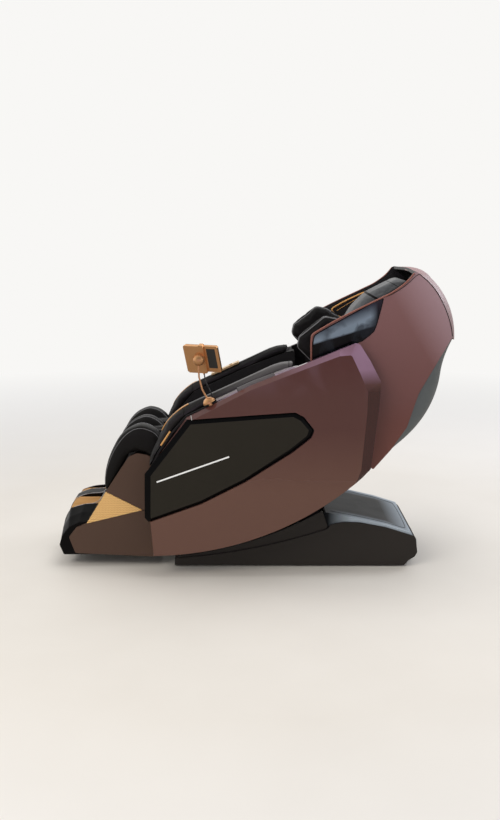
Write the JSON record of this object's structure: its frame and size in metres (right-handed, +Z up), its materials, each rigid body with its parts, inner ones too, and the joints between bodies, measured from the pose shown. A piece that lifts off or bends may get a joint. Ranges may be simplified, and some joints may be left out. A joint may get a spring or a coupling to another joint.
{
  "type": "massage chair",
  "caption": "Reclining massage chair with gull-shaped arm shells, hooded backrest with side windows, calf and foot wells, and a tablet on a stalk.",
  "frame": {"origin": "on the floor, at the middle of the chair's box at rest", "axes": "+X from the foot rest to the head, +Y from the sitter's left to the sitter's right, +Z up"},
  "size_m": [1.6567, 0.78, 1.249],
  "materials": {
    "shell_gloss": "high gloss lacquer, maroon brown",
    "shell_matte": "soft-touch matte, maroon",
    "side_panel": "dark satin with glossy edges",
    "light": "milky light cover",
    "base_dark": "charcoal, fine texture",
    "base_gloss": "blue-grey gloss",
    "rear_grey": "grey, fine texture",
    "frame_steel": "black powder coat",
    "bright_steel": "ground and polished",
    "sheet_steel": "grey paint",
    "rubber": "matte",
    "leather_black": "fine grain synthetic leather",
    "leather_grey": "smooth synthetic leather with a sheen",
    "leather_charcoal": "smooth synthetic leather",
    "inner_dark": "dark lining",
    "leg_brown": "matte dark brown",
    "gold_insert": "gold cloth with a fine wave",
    "foot_gloss": "glossy black",
    "tinted_window": "dark tinted, mirror gloss",
    "rose_gold": "rose gold plating",
    "tablet_glass": "glossy black screen",
    "key_face": "pale gold key top",
    "motor_black": "moulded housing"
  },
  "bodies": {
    "base": {"base_pan": "sheet_steel", "base_skirt": "base_dark", "base_front_cover": "base_dark", "base_rear_cover": "base_gloss", "base_feet": "rubber", "slide_actuator_tube": "motor_black", "power_unit": "motor_black", "power_inlet": "motor_black"},
    "transport_wheels": {"rear_wheels": "rubber"},
    "mains_switch": {"power_rocker": "foot_gloss"},
    "carriage": {"carriage_frame": "frame_steel", "slide_actuator_rod": "bright_steel", "tilt_actuator_tube": "motor_black"},
    "tilt_rod": {"tilt_actuator_rod": "bright_steel"},
    "seat": {"seat_frame": "frame_steel", "pivot_pins": "bright_steel", "leg_lift_motor": "motor_black", "seat_cushion": "leather_black", "arm_shell_left": "shell_gloss", "arm_shell_right": "shell_gloss", "side_panel_left": "side_panel", "side_panel_right": "side_panel", "light_strips": "light", "arm_core_left": "inner_dark", "arm_core_right": "inner_dark", "arm_pad_left": "leather_charcoal", "arm_pad_right": "leather_charcoal", "key_panel": "rose_gold", "tablet_foot": "rose_gold"},
    "recline_tube": {"recline_actuator_tube": "motor_black"},
    "recline_rod": {"recline_actuator_rod": "bright_steel"},
    "backrest": {"back_frame": "frame_steel", "back_side_left": "shell_matte", "back_side_right": "shell_matte", "back_windows": "tinted_window", "back_top_panel": "shell_matte", "back_rear_cover": "rear_grey", "back_lining": "inner_dark", "back_cushion": "leather_black"},
    "pillow": {"head_pillow": "leather_grey"},
    "wing_left": {"shoulder_wing_left": "leather_black"},
    "wing_right": {"shoulder_wing_right": "leather_black"},
    "massage_mechanism": {"massage_carriage": "sheet_steel"},
    "kneading_axle": {"kneading_rollers": "motor_black"},
    "calf_rest": {"calf_frame": "inner_dark", "calf_pad_left": "leather_black", "calf_pad_middle": "leather_black", "calf_pad_right": "leather_black", "calf_liners": "leather_black", "calf_panels": "leg_brown"},
    "foot_rest": {"foot_shell": "foot_gloss", "foot_panels": "leg_brown", "foot_gold_inserts": "gold_insert"},
    "foot_roller_axle": {"foot_rollers": "rubber"},
    "tablet_stalk": {"tablet_arm": "rose_gold", "tablet_cable": "motor_black"},
    "tablet_head": {"tablet_holder": "rose_gold", "tablet": "tablet_glass"},
    "up_key": {"key_up": "key_face"},
    "down_key": {"key_down": "key_face"}
  },
  "joints": [
    {"name": "seat_slide", "type": "slide", "parent": "base", "child": "carriage", "axis": [-1, 0, 0], "range_m": [0, 0.12]},
    {"name": "seat_tilt", "type": "hinge", "parent": "carriage", "child": "seat", "pos_m": [0.23, 0, 0.3], "axis": [0, 1, 0], "range_deg": [0, 8]},
    {"name": "tilt_rod_travel", "type": "slide", "parent": "carriage", "child": "tilt_rod", "axis": [0, 0, 1], "range_m": [0, 0.025]},
    {"name": "back_recline", "type": "hinge", "parent": "seat", "child": "backrest", "pos_m": [0.172, 0, 0.4], "axis": [0, 1, 0], "range_deg": [0, 30]},
    {"name": "recline_tube_swing", "type": "hinge", "parent": "seat", "child": "recline_tube", "pos_m": [-0.2, 0, 0.29], "axis": [0, 1, 0], "range_deg": [-2, 0.5]},
    {"name": "recline_rod_travel", "type": "slide", "parent": "recline_tube", "child": "recline_rod", "axis": [0.9997, 0, 0.0256], "range_m": [-0.053, 0]},
    {"name": "leg_lift", "type": "hinge", "parent": "seat", "child": "calf_rest", "pos_m": [-0.4895, 0, 0.493], "axis": [0, 1, 0], "range_deg": [0, 80]},
    {"name": "foot_travel", "type": "slide", "parent": "calf_rest", "child": "foot_rest", "axis": [-0.4436, 0, -0.8962], "range_m": [0, 0.12]},
    {"name": "foot_roller_spin", "type": "hinge", "parent": "foot_rest", "child": "foot_roller_axle", "pos_m": [-0.706, 0, 0.079], "axis": [0, 1, 0], "continuous": true},
    {"name": "wheel_spin", "type": "hinge", "parent": "base", "child": "transport_wheels", "pos_m": [0.638, 0, 0.024], "axis": [0, 1, 0], "continuous": true},
    {"name": "switch_rock", "type": "hinge", "parent": "base", "child": "mains_switch", "pos_m": [0.674, -0.037, 0.085], "axis": [0, -1, 0], "range_deg": [0, 10]},
    {"name": "massage_travel", "type": "slide", "parent": "backrest", "child": "massage_mechanism", "axis": [0.4909, 0, 0.8712], "range_m": [-0.18, 0.34]},
    {"name": "kneading_spin", "type": "hinge", "parent": "massage_mechanism", "child": "kneading_axle", "pos_m": [0.49036, 0, 0.76995], "axis": [0, 1, 0], "continuous": true},
    {"name": "pillow_flip", "type": "hinge", "parent": "backrest", "child": "pillow", "pos_m": [0.63568, 0, 1.19081], "axis": [0, 1, 0], "range_deg": [0, 65]},
    {"name": "wing_left_squeeze", "type": "hinge", "parent": "backrest", "child": "wing_left", "pos_m": [0.3581, -0.292, 0.92023], "axis": [-0.4909, 0, -0.8712], "range_deg": [0, 25]},
    {"name": "wing_right_squeeze", "type": "hinge", "parent": "backrest", "child": "wing_right", "pos_m": [0.3581, 0.292, 0.92023], "axis": [0.4909, 0, 0.8712], "range_deg": [0, 25]},
    {"name": "tablet_swivel", "type": "hinge", "parent": "seat", "child": "tablet_stalk", "pos_m": [-0.1904, -0.3635, 0.7247], "axis": [-0.454, 0, 0.891], "range_deg": [-45, 45]},
    {"name": "tablet_tilt", "type": "hinge", "parent": "tablet_stalk", "child": "tablet_head", "pos_m": [-0.234, -0.348, 0.893], "axis": [0.9245, -0.3811, 0], "range_deg": [-10, 20], "deforming": ["tablet_cable"]},
    {"name": "key_up_press", "type": "slide", "parent": "seat", "child": "up_key", "axis": [0.4163, 0, -0.9092], "range_m": [0, 0.0015], "stiffness_N_per_m": 600, "springref_m": -0.0005},
    {"name": "key_down_press", "type": "slide", "parent": "seat", "child": "down_key", "axis": [0.4163, 0, -0.9092], "range_m": [0, 0.0015], "stiffness_N_per_m": 600, "springref_m": -0.0005}
  ],
  "couplings": [
    {"joint": "tilt_rod_travel", "follows": "seat_tilt", "m_per_rad": 0.171},
    {"joint": "recline_tube_swing", "follows": "back_recline", "ratio": -0.0324},
    {"joint": "recline_rod_travel", "follows": "back_recline", "m_per_rad": -0.0997},
    {"joint": "foot_travel", "follows": "leg_lift", "m_per_rad": 0.0859}
  ]
}
